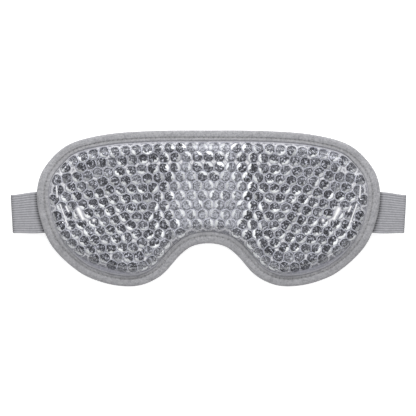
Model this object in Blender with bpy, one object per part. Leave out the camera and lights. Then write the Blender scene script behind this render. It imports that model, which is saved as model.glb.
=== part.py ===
"""Gel bead eye mask: a clear pouch of gel beads on a plush back, bound with tape, with two elastic straps.

The mask lies gel side up, draped over its own straps, which are folded under it.
+X runs along the mask, +Y towards the forehead edge and +Z up.
The origin is the middle of the bounding box, on the surface that the mask lies on.
Everything is in metres; lengths are written in millimetres times MM.
"""

from math import cos, pi, radians, sin

import bmesh
import bpy
from mathutils import Matrix, Vector

MM = 0.001

# Half of the outer edge, from the middle of the forehead edge round to the top of the nose arch.
HALF_OUTLINE = [
    (0.0, 50.2), (38.0, 49.8), (68.3, 47.2), (91.3, 40.3), (105.4, 26.1), (110.0, 10.5),
    (107.5, -7.8), (99.7, -25.2), (83.7, -40.6), (68.3, -47.6), (52.9, -50.2), (41.3, -48.8),
    (29.8, -42.7), (18.3, -30.2), (10.6, -24.5), (0.0, -22.5),
]
EDGE_POINTS = 72            # points round the edge of every layer, an even number
CURVE_STEPS = 24            # points worked out on the smooth curve between two outline points

GAP = 0.3 * MM              # clearance between pieces that lie on each other

# The two elastic straps, each leaning by STRAP_LEAN and folded back at its outermost edge.
STRAP_WIDTH = 25.0 * MM
STRAP_THICKNESS = 1.0 * MM
STRAP_LEAN = radians(3.3)
FOLD_EDGE_X = 126.6 * MM    # outermost point of the fold, on the strap's middle line
FOLD_EDGE_Y = -3.7 * MM
STUB_Z = 3.2 * MM           # underside of the stretch between the fold and the mask
ANCHOR_END = 28.0 * MM      # how far the sewn-in end reaches from the fold's outermost point
STRAP_TIP = 3.2 * MM        # distance of each folded tip from the mask's middle
TIP_RADIUS = 4.0 * MM
FOLD_STEPS = 8

# The hook-and-loop closure on the two strap tips.
PAD_THICKNESS = 1.0 * MM
PAD_WIDTH = 21.0 * MM
HOOK_LENGTH = 50.0 * MM
LOOP_LENGTH = 70.0 * MM
PAD_MARGIN = 2.0 * MM       # from the strap's tip to the pad's end
PAD_SEAM = 2.0 * MM         # from the pad's edge to its stitching
THREAD_RADIUS = 0.15 * MM

# The zigzag row that holds each strap's sewn-in end, with distances along the strap from the hinge line.
ZIGZAG_START = 18.0 * MM
ZIGZAG_DEPTH = 6.0 * MM
ZIGZAG_WIDTH = 21.0 * MM
ZIGZAG_TURNS = 14

# Heights that the mask drapes over: the folded straps, and the sewn-in strap ends at its sides.
PLATEAU = 3.3 * MM
SIDE_LIFT = 4.5 * MM
SIDE_START = 88.0 * MM
SIDE_RISE = 8.0 * MM
DRAPE_MARGIN = 2.5 * MM
DRAPE_SLOPE = 17.0 * MM
BACK_START = 10.0 * MM
BACK_SLOPE = 14.0 * MM

# Layers, as heights above the draped base at the bound edge.
TAPE_WIDTH = 6.5 * MM
TAPE_THICKNESS = 0.6 * MM
TAPE_HEIGHT = 4.0 * MM
TAPE_CREASE = 0.65 * MM     # how far the stitch line pulls each leg of the tape in
TAPE_ROLL = 1.4 * MM        # where the round outer edge meets each flat leg
TAPE_SHOULDER = 0.3 * MM
TAPE_INNER = 0.72 * MM      # inside of the fold
SEAM_INSET = 4.8 * MM
SEAM_HALF_WIDTH = 0.6 * MM
LAYER_INSET = 1.2 * MM      # the layers' own cut edge, inside the tape
PLUSH_EDGE_BOTTOM = 1.35 * MM
PLUSH_TOP = 2.1 * MM
REAR_FILM_BOTTOM = 2.4 * MM
FRONT_FILM_BOTTOM = 2.9 * MM
FILM_THICKNESS = 0.22 * MM

# The filled pouch.
POUCH_TOP = 12.0 * MM       # top of the front film over the eyes
WELD_END = 8.2 * MM         # inner edge of the flat weld between the two films
SHOULDER = 11.0 * MM        # width of the curve from the weld up to the pouch's top
BEADS_INSET = 9.6 * MM
BEADS_GAP = 0.6 * MM        # under the front film, whose dome is made of coarse facets
INNER_RING = 12.0 * MM
BACK_RINGS = [LAYER_INSET, WELD_END, BEADS_INSET, INNER_RING, 18.0 * MM, BACK_START + BACK_SLOPE]
FRONT_RINGS = [LAYER_INSET, WELD_END, BEADS_INSET, INNER_RING, 15.5 * MM, WELD_END + SHOULDER]


# ---------------------------------------------------------------- scene and materials

def clear_scene():
    for obj in list(bpy.data.objects):
        bpy.data.objects.remove(obj, do_unlink=True)


def new_collection(name):
    collection = bpy.data.collections.new(name)
    bpy.context.scene.collection.children.link(collection)
    return collection


def material(name, color, roughness, alpha=1.0):
    mat = bpy.data.materials.new(name)
    mat.use_nodes = True
    shader = mat.node_tree.nodes["Principled BSDF"]
    shader.inputs["Base Color"].default_value = (*color, 1.0)
    shader.inputs["Roughness"].default_value = roughness
    shader.inputs["Metallic"].default_value = 0.0
    shader.inputs["Alpha"].default_value = alpha
    mat.diffuse_color = (*color, alpha)
    return mat


def add_object(name, mesh, mat, collection, pivot=Vector()):
    """Add a mesh that is written in world coordinates, with its origin at the pivot."""
    mesh.transform(Matrix.Translation(-pivot))
    mesh.name = name
    mesh.materials.append(mat)
    mesh.shade_smooth()
    mesh.set_sharp_from_angle(angle=radians(35))
    obj = bpy.data.objects.new(name, mesh)
    obj.location = pivot
    collection.objects.link(obj)
    return obj


# ---------------------------------------------------------------- the mask's outline and drape

def smoothstep(t):
    t = min(1.0, max(0.0, t))
    return t * t * (3.0 - 2.0 * t)


def smooth_loop(points, steps):
    """A closed curve through the points, with each tangent set by the neighbours' spacing."""
    count = len(points)
    tangents = []
    for i, here in enumerate(points):
        before, after = points[i - 1], points[(i + 1) % count]
        tangents.append((after - before) / ((after - here).length + (here - before).length))
    curve = []
    for i, here in enumerate(points):
        there = points[(i + 1) % count]
        span = (there - here).length
        for step in range(steps):
            t = step / steps
            curve.append(
                here * (2 * t**3 - 3 * t**2 + 1) + there * (3 * t**2 - 2 * t**3)
                + tangents[i] * span * (t**3 - 2 * t**2 + t)
                + tangents[(i + 1) % count] * span * (t**3 - t**2)
            )
    return curve


def evenly_spaced(loop, count):
    """The closed loop again, as count points at equal distances along it."""
    closed = loop + loop[:1]
    lengths = [0.0]
    for a, b in zip(closed, closed[1:]):
        lengths.append(lengths[-1] + (b - a).length)
    spaced, k = [], 0
    for i in range(count):
        target = lengths[-1] * i / count
        while lengths[k + 1] < target:
            k += 1
        part = (target - lengths[k]) / (lengths[k + 1] - lengths[k])
        spaced.append(closed[k].lerp(closed[k + 1], part))
    return spaced


def edge_and_normals():
    """The outer edge as evenly spaced points, and the inward normal at each."""
    half = [Vector(p) * MM for p in HALF_OUTLINE]
    other_half = [Vector((-p.x, p.y)) for p in half[-2:0:-1]]
    edge = evenly_spaced(smooth_loop(half + other_half, CURVE_STEPS), EDGE_POINTS)
    normals = []
    for i, _ in enumerate(edge):
        along = edge[(i + 1) % EDGE_POINTS] - edge[i - 1]
        normals.append(Vector((along.y, -along.x)).normalized())
    return edge, normals


def ring(inset):
    """The outer edge moved inwards."""
    return [p + n * inset for p, n in zip(EDGE, NORMALS)]


def strap_middle_y(x):
    """Height in Y of a strap's middle line at a given X, left or right."""
    return FOLD_EDGE_Y + (FOLD_EDGE_X - abs(x)) * sin(STRAP_LEAN) / cos(STRAP_LEAN)


def base_height(x, y, inset):
    """Height of the mask's underside where it drapes over the straps and the table."""
    full = PLATEAU + (SIDE_LIFT - PLATEAU) * smoothstep((abs(x) - SIDE_START) / SIDE_RISE)
    beside = abs(y - strap_middle_y(x)) - STRAP_WIDTH / 2 - DRAPE_MARGIN
    over_strap = full * (1.0 - smoothstep(beside / DRAPE_SLOPE))
    return max(over_strap, PLATEAU * smoothstep((inset - BACK_START) / BACK_SLOPE))


def front_height(x, y, inset):
    """Height of the front film's underside: flat at the weld, then domed up to the pouch's top."""
    weld = base_height(x, y, WELD_END) + FRONT_FILM_BOTTOM
    top = POUCH_TOP - FILM_THICKNESS
    rise = sin(pi / 2 * min(1.0, max(0.0, (inset - WELD_END) / SHOULDER)))
    return weld + (top - weld) * rise


# ---------------------------------------------------------------- layers of the mask

def loft(name, profile, mat, collection, capped):
    """Sweep a profile of (inset, height function) pairs round the edge, and close it."""
    bm = bmesh.new()
    rows = []
    for inset, height in profile:
        # The bound edge stays level across its width, so its height is that of the weld's inner edge.
        level = ring(max(inset, WELD_END))
        row = [bm.verts.new((p.x, p.y, height(q.x, q.y, inset))) for p, q in zip(ring(inset), level)]
        rows.append((inset, row))
    pairs = list(zip(rows, rows[1:]))
    if not capped:
        pairs.append((rows[-1], rows[0]))
    for first, second in pairs:
        add_strip(bm, *sorted((first, second), key=lambda row: row[0]))
    if capped:
        bm.faces.new(rows[0][1])
        bm.faces.new(rows[-1][1])
    bmesh.ops.recalc_face_normals(bm, faces=bm.faces)
    mesh = bpy.data.meshes.new(name)
    bm.to_mesh(mesh)
    bm.free()
    return add_object(name, mesh, mat, collection)


def add_strip(bm, outer_row, inner_row):
    """Triangles between two rows, split the same way in every layer so that stacked layers stay clear."""
    outer, inner = outer_row[1], inner_row[1]
    for i in range(EDGE_POINTS):
        j = (i + 1) % EDGE_POINTS
        bm.faces.new((outer[i], outer[j], inner[j]))
        bm.faces.new((outer[i], inner[j], inner[i]))


def above_base(offset):
    return lambda x, y, inset: base_height(x, y, inset) + offset


def front_plus(offset):
    return lambda x, y, inset: front_height(x, y, inset) + offset


def plush_underside(x, y, inset):
    """The plush clears the tape's lower leg at the edge and reaches the base inside it."""
    inside = smoothstep((inset - WELD_END) / (INNER_RING - WELD_END))
    return base_height(x, y, inset) + PLUSH_EDGE_BOTTOM * (1.0 - inside)


def make_plush_backing(mat, collection):
    under = [(inset, plush_underside) for inset in reversed(BACK_RINGS)]
    over = [(inset, above_base(PLUSH_TOP)) for inset in BACK_RINGS]
    return loft("plush_backing", under + over, mat, collection, capped=True)


def make_rear_film(mat, collection):
    under = [(inset, above_base(REAR_FILM_BOTTOM)) for inset in reversed(BACK_RINGS)]
    over = [(inset, above_base(REAR_FILM_BOTTOM + FILM_THICKNESS)) for inset in BACK_RINGS]
    return loft("rear_film", under + over, mat, collection, capped=True)


def make_front_film(mat, collection):
    under = [(inset, front_plus(0.0)) for inset in reversed(FRONT_RINGS)]
    over = [(inset, front_plus(FILM_THICKNESS)) for inset in FRONT_RINGS]
    return loft("front_film", under + over, mat, collection, capped=True)


def make_gel_beads(mat, collection):
    """The beads as one plain body that fills the pouch from film to film."""
    floor = above_base(REAR_FILM_BOTTOM + FILM_THICKNESS + GAP)
    under = [(inset, floor) for inset in reversed(BACK_RINGS[2:])]
    over = [(inset, front_plus(-BEADS_GAP)) for inset in FRONT_RINGS[2:]]
    return loft("gel_bead_layer", under + over, mat, collection, capped=True)


def make_binding_tape(mat, collection):
    """A tape folded over the edge, pinched in along its seam on both faces."""
    t, h, w = TAPE_THICKNESS, TAPE_HEIGHT, TAPE_WIDTH
    seam_out, seam_in = SEAM_INSET - SEAM_HALF_WIDTH, SEAM_INSET + SEAM_HALF_WIDTH
    roll, shoulder, inner = TAPE_ROLL, TAPE_SHOULDER, TAPE_INNER
    outside_under = [(w, 0.0), (seam_in, 0.0), (SEAM_INSET, TAPE_CREASE), (seam_out, 0.0), (roll, 0.0)]
    round_edge = [(shoulder, h / 4), (0.0, h / 2), (shoulder, h * 3 / 4)]
    outside_top = [(roll, h), (seam_out, h), (SEAM_INSET, h - TAPE_CREASE / 2), (seam_in, h), (w, h)]
    inside_top = [(w, h - t), (inner, h - t)]
    inside_under = [(inner, t), (seam_out, t), (SEAM_INSET, TAPE_CREASE + t / 2), (seam_in, t), (w, t)]
    section = outside_under + round_edge + outside_top + inside_top + inside_under
    profile = [(inset, above_base(height)) for inset, height in section]
    return loft("binding_tape", profile, mat, collection, capped=False)


# ---------------------------------------------------------------- threads

def thread(name, points, mat, collection, closed):
    """A thin tube along the points, turned into a mesh with its ends welded."""
    curve = bpy.data.curves.new(name, "CURVE")
    curve.dimensions = "3D"
    curve.bevel_depth = THREAD_RADIUS
    curve.bevel_resolution = 1
    curve.use_fill_caps = not closed
    spline = curve.splines.new("POLY")
    spline.points.add(len(points) - 1)
    for spline_point, place in zip(spline.points, points):
        spline_point.co = (*place, 1.0)
    spline.use_cyclic_u = closed
    guide = bpy.data.objects.new(name + "_path", curve)
    collection.objects.link(guide)
    evaluated = guide.evaluated_get(bpy.context.evaluated_depsgraph_get())
    mesh = bpy.data.meshes.new_from_object(evaluated)
    bpy.data.objects.remove(guide)
    bm = bmesh.new()
    bm.from_mesh(mesh)
    bmesh.ops.remove_doubles(bm, verts=bm.verts, dist=0.001 * MM)
    bmesh.ops.recalc_face_normals(bm, faces=bm.faces)
    bm.to_mesh(mesh)
    bm.free()
    mesh.materials.clear()
    return add_object(name, mesh, mat, collection)


def make_seam_threads(mat, collection):
    """The needle thread lies in the front crease and the bobbin thread in the back crease."""
    front = TAPE_HEIGHT - TAPE_CREASE / 2 + GAP + THREAD_RADIUS
    back = TAPE_CREASE - GAP - THREAD_RADIUS
    for name, height in [("binding_needle_thread", front), ("binding_bobbin_thread", back)]:
        pairs = zip(ring(SEAM_INSET), ring(WELD_END))
        points = [(p.x, p.y, base_height(q.x, q.y, SEAM_INSET) + height) for p, q in pairs]
        thread(name, points, mat, collection, closed=True)


# ---------------------------------------------------------------- straps

class Strap:
    """One side's strap: its own frame has +X along the strap from the fold, +Z up."""

    def __init__(self, name, side, run_z):
        self.name = name
        self.side = side                      # -1 on the left, +1 on the right
        self.run_z = run_z                    # underside of the folded-back stretch
        self.fold_radius = (STUB_Z - run_z) / 2
        reach = self.fold_radius + STRAP_THICKNESS / 2
        self.hinge_z = (STUB_Z + run_z + STRAP_THICKNESS) / 2
        self.reach = reach
        inward = Vector((-side * cos(STRAP_LEAN), sin(STRAP_LEAN), 0.0))
        across = Vector((side * sin(STRAP_LEAN), cos(STRAP_LEAN), 0.0))
        edge = Vector((side * FOLD_EDGE_X, FOLD_EDGE_Y, 0.0))
        self.pivot = edge + inward * reach + Vector((0.0, 0.0, self.hinge_z))
        self.inward = inward
        self.across = across
        self.run_length = (FOLD_EDGE_X - STRAP_TIP) / cos(STRAP_LEAN) - reach

    def place(self, along, across, z):
        """A world point from distances along the strap from the hinge line and across it."""
        flat = self.pivot + self.inward * along + self.across * across
        return Vector((flat.x, flat.y, z))

    def slab(self, name, start, end, width, z, thickness, mat, collection, radius=0.0, pivot=None):
        """A flat piece of webbing, with its far corners rounded where a radius is given."""
        bpy.ops.mesh.primitive_cube_add(size=1.0)
        obj = bpy.context.object
        mesh = obj.data
        bpy.data.objects.remove(obj)
        length = end - start
        mesh.transform(Matrix.Diagonal((length, width, thickness, 1.0)))
        if radius:
            bm = bmesh.new()
            bm.from_mesh(mesh)
            far = [e for e in bm.edges if all(v.co.x > 0 for v in e.verts) and is_upright(e)]
            bmesh.ops.bevel(bm, geom=far, offset=radius, segments=4, affect="EDGES", profile=0.5)
            bm.to_mesh(mesh)
            bm.free()
        for vertex in mesh.vertices:
            along, across, up = vertex.co
            vertex.co = self.place(along + start + length / 2, across, z + thickness / 2 + up)
        if self.side > 0:
            mesh.flip_normals()
        return add_object(name, mesh, mat, collection, self.pivot if pivot is None else pivot)


def is_upright(edge):
    low, high = edge.verts
    return (low.co - high.co).xy.length < 1e-9


def make_anchor(strap, mat, collection):
    end = ANCHOR_END - strap.reach
    name = strap.name + "_strap_anchor"
    return strap.slab(name, GAP, end, STRAP_WIDTH, STUB_Z, STRAP_THICKNESS, mat, collection)


def make_fold(strap, mat, collection):
    """The half turn of webbing round the hinge line, as a loft of its inner and outer faces."""
    bm = bmesh.new()
    rows = []
    for step in range(FOLD_STEPS + 1):
        angle = pi * step / FOLD_STEPS
        row = []
        for radius in (strap.fold_radius - STRAP_THICKNESS / 2, strap.fold_radius + STRAP_THICKNESS / 2):
            for across in (-STRAP_WIDTH / 2, STRAP_WIDTH / 2):
                z = strap.hinge_z + radius * cos(angle)
                row.append(bm.verts.new(strap.place(-radius * sin(angle), across, z)))
        rows.append((row[0], row[1], row[3], row[2]))
    for near, far in zip(rows, rows[1:]):
        for i in range(4):
            j = (i + 1) % 4
            bm.faces.new((near[i], near[j], far[j], far[i]))
    bm.faces.new(rows[0])
    bm.faces.new(rows[-1])
    bmesh.ops.recalc_face_normals(bm, faces=bm.faces)
    mesh = bpy.data.meshes.new(strap.name + "_strap_fold")
    bm.to_mesh(mesh)
    bm.free()
    return add_object(strap.name + "_strap_fold", mesh, mat, collection, strap.pivot)


def make_run(strap, mat, collection):
    name = strap.name + "_strap_run"
    return strap.slab(name, GAP, strap.run_length, STRAP_WIDTH, strap.run_z, STRAP_THICKNESS,
                      mat, collection, TIP_RADIUS)


def make_pad(strap, name, length, z, mat, collection):
    end = strap.run_length - PAD_MARGIN
    return strap.slab(name, end - length, end, PAD_WIDTH, z, PAD_THICKNESS, mat, collection, TIP_RADIUS / 2)


def make_pad_stitching(strap, name, length, z, mat, collection):
    """A rectangle of stitching just inside the pad's edge."""
    end = strap.run_length - PAD_MARGIN - PAD_SEAM
    start = strap.run_length - PAD_MARGIN - length + PAD_SEAM
    half = PAD_WIDTH / 2 - PAD_SEAM
    corners = [(start, -half), (end, -half), (end, half), (start, half)]
    points = []
    for (a_along, a_across), (b_along, b_across) in zip(corners, corners[1:] + corners[:1]):
        for part in (0.04, 0.5, 0.96):
            along = a_along + (b_along - a_along) * part
            across = a_across + (b_across - a_across) * part
            points.append(strap.place(along, across, z))
    return thread(name, points, mat, collection, closed=True)


def make_anchor_stitching(strap, mat, collection):
    """A row of zigzag stitches that holds the strap's end, on its underside."""
    z = STUB_Z - GAP - THREAD_RADIUS
    points = []
    for turn in range(ZIGZAG_TURNS + 1):
        across = ZIGZAG_WIDTH * (turn / ZIGZAG_TURNS - 0.5)
        points.append(strap.place(ZIGZAG_START + ZIGZAG_DEPTH * (turn % 2), across, z))
    return thread(strap.name + "_anchor_stitching", points, mat, collection, closed=False)


# ---------------------------------------------------------------- assembly

EDGE, NORMALS = edge_and_normals()


def make_materials():
    return {
        "clear_film": material("clear_film", (0.80, 0.84, 0.88), 0.08, alpha=0.35),
        "gel_bead": material("gel_bead", (0.42, 0.43, 0.46), 0.10),
        "plush": material("plush", (0.36, 0.36, 0.39), 0.95),
        "binding": material("binding", (0.34, 0.34, 0.37), 0.85),
        "thread": material("thread", (0.28, 0.28, 0.30), 0.70),
        "elastic": material("elastic", (0.36, 0.36, 0.39), 0.80),
        "hook": material("hook", (0.30, 0.30, 0.33), 0.60),
        "loop": material("loop", (0.33, 0.33, 0.36), 0.95),
    }


def make_mask(mats, collection):
    make_plush_backing(mats["plush"], collection)
    make_rear_film(mats["clear_film"], collection)
    make_gel_beads(mats["gel_bead"], collection)
    make_front_film(mats["clear_film"], collection)
    make_binding_tape(mats["binding"], collection)
    make_seam_threads(mats["thread"], collection)


def make_strap(strap, mats, collection):
    make_anchor(strap, mats["elastic"], collection)
    make_anchor_stitching(strap, mats["thread"], collection)
    make_fold(strap, mats["elastic"], collection)
    make_run(strap, mats["elastic"], collection)


def build():
    clear_scene()
    collection = new_collection("gel_bead_eye_mask")
    mats = make_materials()
    make_mask(mats, collection)
    # The left strap lies on the table with its hooks up; the right one lies on its loop pad.
    left = Strap("left", -1, 0.0)
    right = Strap("right", 1, PAD_THICKNESS + GAP)
    for strap in (left, right):
        make_strap(strap, mats, collection)
    hook_z = left.run_z + STRAP_THICKNESS + GAP
    seam_z = hook_z + PAD_THICKNESS + GAP + THREAD_RADIUS
    make_pad(left, "hook_pad", HOOK_LENGTH, hook_z, mats["hook"], collection)
    make_pad(right, "loop_pad", LOOP_LENGTH, 0.0, mats["loop"], collection)
    make_pad_stitching(left, "hook_pad_stitching", HOOK_LENGTH, seam_z, mats["thread"], collection)
    make_pad_stitching(right, "loop_pad_stitching", LOOP_LENGTH, seam_z, mats["thread"], collection)


build()
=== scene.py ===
"""Visual model of the gel bead eye mask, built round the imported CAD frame.

Everything is in metres, in the frame of the CAD model: +X along the mask, +Y to the forehead, +Z up.
"""
from math import cos, pi, radians, sin, tan

import bpy
import numpy as np
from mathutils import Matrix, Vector
from mathutils.geometry import delaunay_2d_cdt


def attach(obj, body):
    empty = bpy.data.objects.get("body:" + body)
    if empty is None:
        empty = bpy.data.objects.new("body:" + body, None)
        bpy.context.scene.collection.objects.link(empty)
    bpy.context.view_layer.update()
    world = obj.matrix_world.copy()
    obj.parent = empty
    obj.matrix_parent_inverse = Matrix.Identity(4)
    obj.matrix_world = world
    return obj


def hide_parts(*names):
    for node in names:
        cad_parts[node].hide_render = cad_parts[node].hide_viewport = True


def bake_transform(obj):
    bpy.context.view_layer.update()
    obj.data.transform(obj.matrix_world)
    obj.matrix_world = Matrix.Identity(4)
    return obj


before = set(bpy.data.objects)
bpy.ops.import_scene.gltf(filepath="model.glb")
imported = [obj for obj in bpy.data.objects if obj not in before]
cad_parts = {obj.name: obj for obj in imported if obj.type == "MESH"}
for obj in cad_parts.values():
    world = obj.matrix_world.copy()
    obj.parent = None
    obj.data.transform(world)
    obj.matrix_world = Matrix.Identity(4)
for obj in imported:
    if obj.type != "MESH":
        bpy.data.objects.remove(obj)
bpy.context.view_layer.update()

MM = 0.001
SEED = 7

# Half of the outer edge, from the middle of the forehead edge round to the top of the nose arch.
HALF_OUTLINE = [
    (0.0, 50.2), (38.0, 49.8), (68.3, 47.2), (91.3, 40.3), (105.4, 26.1), (110.0, 10.5),
    (107.5, -7.8), (99.7, -25.2), (83.7, -40.6), (68.3, -47.6), (52.9, -50.2), (41.3, -48.8),
    (29.8, -42.7), (18.3, -30.2), (10.6, -24.5), (0.0, -22.5),
]
EDGE_POINTS = 1080
CURVE_STEPS = 60
TANGENT_SPAN = 9
NORMAL_ROUNDS = 24
CHUNK = 4000

# Straps, as in the CAD model.
STRAP_WIDTH = 25.0 * MM
STRAP_THICKNESS = 1.0 * MM
STRAP_LEAN = radians(3.3)
FOLD_EDGE_X = 126.6 * MM
FOLD_EDGE_Y = -3.7 * MM
STUB_Z = 3.2 * MM
ANCHOR_END = 28.0 * MM
STRAP_TIP = 3.2 * MM
LEFT_RUN_Z = 0.0
RIGHT_RUN_Z = 1.3 * MM
ZIGZAG_START = 18.0 * MM
ZIGZAG_DEPTH = 6.0 * MM
ZIGZAG_WIDTH = 21.0 * MM
ZIGZAG_TURNS = 14
ZIGZAG_STEPS = 6
ZIGZAG_SINK = 0.16 * MM
PAD_WIDTH = 21.0 * MM
HOOK_LENGTH = 50.0 * MM
LOOP_LENGTH = 70.0 * MM
PAD_MARGIN = 2.0 * MM
PAD_SEAM = 2.0 * MM
PAD_BOW = 0.15 * MM
PAD_CORNER = 2.0 * MM
PAD_SPACING = 0.8 * MM
# One hook, from its foot to its tip, in mm: how far it leans, its height and half its thickness.
HOOK_LINE = [(0.0, 0.0, 0.16), (0.0, 0.35, 0.13), (0.06, 0.60, 0.11),
             (0.22, 0.74, 0.09), (0.40, 0.70, 0.07), (0.46, 0.58, 0.05)]
HOOK_HALF_WIDTH = 0.14 * MM
PAD_GAP = 0.02 * MM
HOOK_TAPE_TOP = 0.55 * MM
HOOK_TAPE_SPACING = 1.2 * MM
LOOP_SPACING = 0.7 * MM
HOOK_STEP_ALONG = 1.25 * MM
HOOK_STEP_ACROSS = 1.1 * MM
HOOK_BARE_START = 2.8 * MM
HOOK_BARE_END = 2.6 * MM
LOOP_FUZZ = 0.30 * MM
LOOP_EDGE_DROP = 0.45 * MM
BOX_POINTS = 600
BOX_STITCH = 2.6 * MM
BOX_LIFT = 0.12 * MM
BOX_DIP = 0.35 * MM
BOX_NEEDLE = 0.14
RIBS = 17
RIB_DEPTH = 0.12 * MM
POINTS_PER_RIB = 8
EDGE_SHARE = 0.02
THIN_EDGE = 0.25
FREE_WIDTH = 0.985
SEWN_SPREAD = 0.075
SPREAD_LENGTH = 13.0 * MM
TIP_LENGTH = 0.5 * MM
TIP_THICKNESS = 0.35
PICK = 0.9 * MM
STUB_STEPS = 55
FOLD_STEPS = 25
RUN_STEPS = 200
TUCK_SHADE = 2.4 * MM
FOLD_SHADE_AT = 1.8 * MM
FOLD_SHADE_SPREAD = 1.3 * MM
CORNER_RADIUS = 4.0 * MM

# The drape over the straps, as in the CAD model.
PLATEAU = 3.3 * MM
SIDE_LIFT = 4.5 * MM
SIDE_START = 88.0 * MM
SIDE_RISE = 8.0 * MM
DRAPE_MARGIN = 2.5 * MM
DRAPE_SLOPE = 17.0 * MM
BACK_START = 10.0 * MM
BACK_SLOPE = 14.0 * MM

# Layers of the mask, above the draped base.
TAPE_WIDTH = 6.5 * MM
TAPE_HEIGHT = 4.0 * MM
TAPE_THICKNESS = 0.6 * MM
SEAM_INSET = 4.8 * MM
SEAM_SPREAD = 0.42 * MM
SEAM_PULL = 0.30 * MM
STITCH = 3.1 * MM
TAPE_NEEDLE = 0.13
THREAD_NEEDLE = 0.16
PUCKER = 0.06 * MM
RIPPLE = 0.10 * MM
RIPPLE_LENGTH = 41.0 * MM
TAPE_ROUND = 1.6 * MM
TAPE_SWELL = 0.16 * MM
SIDE_LAP = 0.8 * MM
SIDE_LAP_FROM = 88.0 * MM
NOSE_LAP = 0.7 * MM
NOSE_LAP_TO = 34.0 * MM
LAP_RAMP = 14.0 * MM
LAYER_INSET = 1.2 * MM
FRONT_SPACING = 0.8 * MM
BACK_SPACING = 2.0 * MM
PLUSH_TOP = 2.1 * MM
PLUSH_EDGE_BOTTOM = 1.35 * MM
PLUSH_CURL = 3.8 * MM
REAR_FILM_BOTTOM = 2.4 * MM
FILM_THICKNESS = 0.22 * MM
WELD_HEIGHT = 3.12 * MM
WELD_END = 7.8 * MM
WIDE_WELD = 2.4 * MM
WIDE_WELD_X = 70.0 * MM
WIDE_WELD_Y = -46.0 * MM
WIDE_WELD_SPREAD = 13.0 * MM
WRINKLE = 0.10 * MM
WRINKLE_LENGTH = 2.3 * MM
WRINKLE_DRIFT = 17.0 * MM
WRINKLE_SPREAD = 1.3 * MM
SHOULDER = 6.5 * MM
POUCH_TOP = 12.0 * MM
LEVEL_END = 8.2 * MM

# Beads.
BEAD_PITCH = 7.05 * MM
ROW_PITCH = 6.13 * MM
FIRST_ROW = 39.0 * MM
ROW_BOW = 5.2 * MM
ROW_BOW_AT = 74.0 * MM
BEADS_PER_SIDE = 18
ROW_SHIFT = 0.54
SEED_MARGIN = 3.3 * MM
BEAD_JITTER = 0.14 * MM
RELAX_ROUNDS = 200
CLOSEST = 0.955
PUSH = 0.35
ROWS_ON_LINE = (False, True, True, False, True, False, True, False, True, False, True, False, True)
BEAD_EDGE = 11.2 * MM
BEAD_RADIUS = 3.9 * MM
BEAD_NEAR = 2.1 * BEAD_PITCH
BEAD_GAP = 0.03 * MM
WALL_POWER = 14.0
STEEPEST = 0.8
BEAD_SIDES = 24
BEAD_ROWS = 12
BEAD_SQUARENESS = 0.42
# Directions and spread of the painted highlight crescents on the beads.
OUTER_GLINT = radians(-125.0)
INNER_GLINT = radians(25.0)
GLINT_SPREAD = 0.25
BUMP_SPREAD = 2.3 * MM
# Where the film looks milky: on the weld; where it is painted white for highlights: in the gaps between beads
# and along the tape's lip.
WELD_FADE = 0.8 * MM
GAP_START = 3.5 * MM
GAP_FADE = 0.6 * MM
GAP_DEEP = 4.2 * MM
LIP_GAP = 0.75 * MM
LIP_SIDE = 0.35 * MM
LIP_SPREAD = 0.22 * MM
FILM_SAG = 0.6 * MM
SAG_RISE = 3.0 * MM
FILM_GAP = 0.08 * MM
THREAD_RADIUS = 0.17 * MM
NEEDLE_DIP = 0.55 * MM
BOBBIN_DIP = 0.45 * MM

GLARE_STREAK_SPACING = 0.5 * MM
# Painted glare streaks on the front film at each side: (x, y) of both ends and half the width, in mm.
GLARE_STREAKS = [
    ((97.1, 14.3), (96.6, 7.0), 0.42), ((94.7, 2.5), (89.8, -11.0), 0.42),
    ((91.0, 1.2), (89.4, -2.0), 0.60), ((83.2, -0.4), (81.5, -4.0), 1.50),
    ((81.0, -5.0), (80.2, -6.8), 1.10), ((73.2, -7.4), (73.2, -8.0), 0.90),
]

CAMERA_HEIGHT = 1.4
CAMERA_XY = (-0.3 * MM, 0.2 * MM)
SENSOR_MM = 36.0
VIEW_WIDTH = 266.7 * MM
FLOOR_SIZE = 6.0
FLOOR_GAP = 0.05 * MM
FLOOR_GLOW = 0.52
SKY_STRENGTH = 0.55
# Lights: name, place, size, power, and whether gloss shows it.
LIGHTS = [
    ("key_softbox", (0.0, 0.55, 0.50), (0.5, 0.16), 4.8, False),
    ("low_softbox", (0.0, -0.50, 0.40), (0.16, 0.10), 0.25, True),
    ("left_strip", (-0.42, 0.0, 0.60), (0.012, 0.30), 0.3, True),
    ("right_strip", (0.42, 0.0, 0.60), (0.012, 0.30), 0.3, True),
]
RNG = np.random.default_rng(SEED)


# ---- outline, drape and heights

def smoothstep(t):
    t = np.clip(t, 0.0, 1.0)
    return t * t * (3.0 - 2.0 * t)


def smooth_loop(points, steps):
    """A closed curve through the points, with each tangent set by the neighbours' spacing."""
    before, after = np.roll(points, 1, axis=0), np.roll(points, -1, axis=0)
    span = np.linalg.norm(after - points, axis=1)
    tangent = (after - before) / (span + np.roll(span, 1))[:, None]
    t = (np.arange(steps) / steps)[None, :, None]
    p, q, m, n = (a[:, None, :] for a in (points, after, tangent, np.roll(tangent, -1, axis=0)))
    s = span[:, None, None]
    curve = (p * (2 * t**3 - 3 * t**2 + 1) + q * (3 * t**2 - 2 * t**3)
             + m * s * (t**3 - 2 * t**2 + t) + n * s * (t**3 - t**2))
    return curve.reshape(-1, 2)


def evenly_spaced(loop, count):
    """The closed loop again, as count points at equal distances along it."""
    closed = np.vstack([loop, loop[:1]])
    length = np.concatenate([[0.0], np.cumsum(np.linalg.norm(np.diff(closed, axis=0), axis=1))])
    at = np.linspace(0.0, length[-1], count, endpoint=False)
    return np.stack([np.interp(at, length, closed[:, k]) for k in (0, 1)], axis=1), length[-1]


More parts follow.
